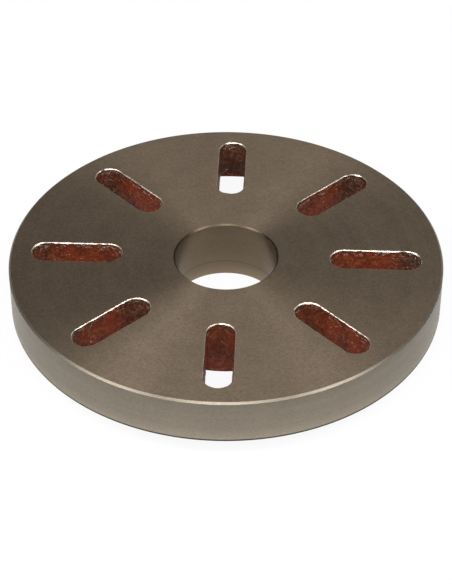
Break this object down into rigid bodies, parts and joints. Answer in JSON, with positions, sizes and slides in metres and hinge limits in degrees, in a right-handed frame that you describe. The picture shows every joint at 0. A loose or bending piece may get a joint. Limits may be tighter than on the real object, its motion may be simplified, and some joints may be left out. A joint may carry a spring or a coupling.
{
  "type": "lathe faceplate",
  "caption": "Round cast-iron lathe faceplate with radial through slots, a plain bore, a rimmed back and a short-taper hub with stud holes.",
  "frame": {"origin": "on the axis, in the plane of the hub's seating face, which is the lowest face", "axes": "+Z along the bore axis towards the working face; +X along one of the slots; a stud hole lies on +Y"},
  "size_m": [0.254, 0.254, 0.039],
  "materials": {
    "cast_iron": "face, rim, bore and hub seat turned and bare; slot walls and the relief of the back as cast under red-oxide paint"
  },
  "bodies": {
    "root": {"faceplate": "cast_iron"}
  },
  "joints": []
}
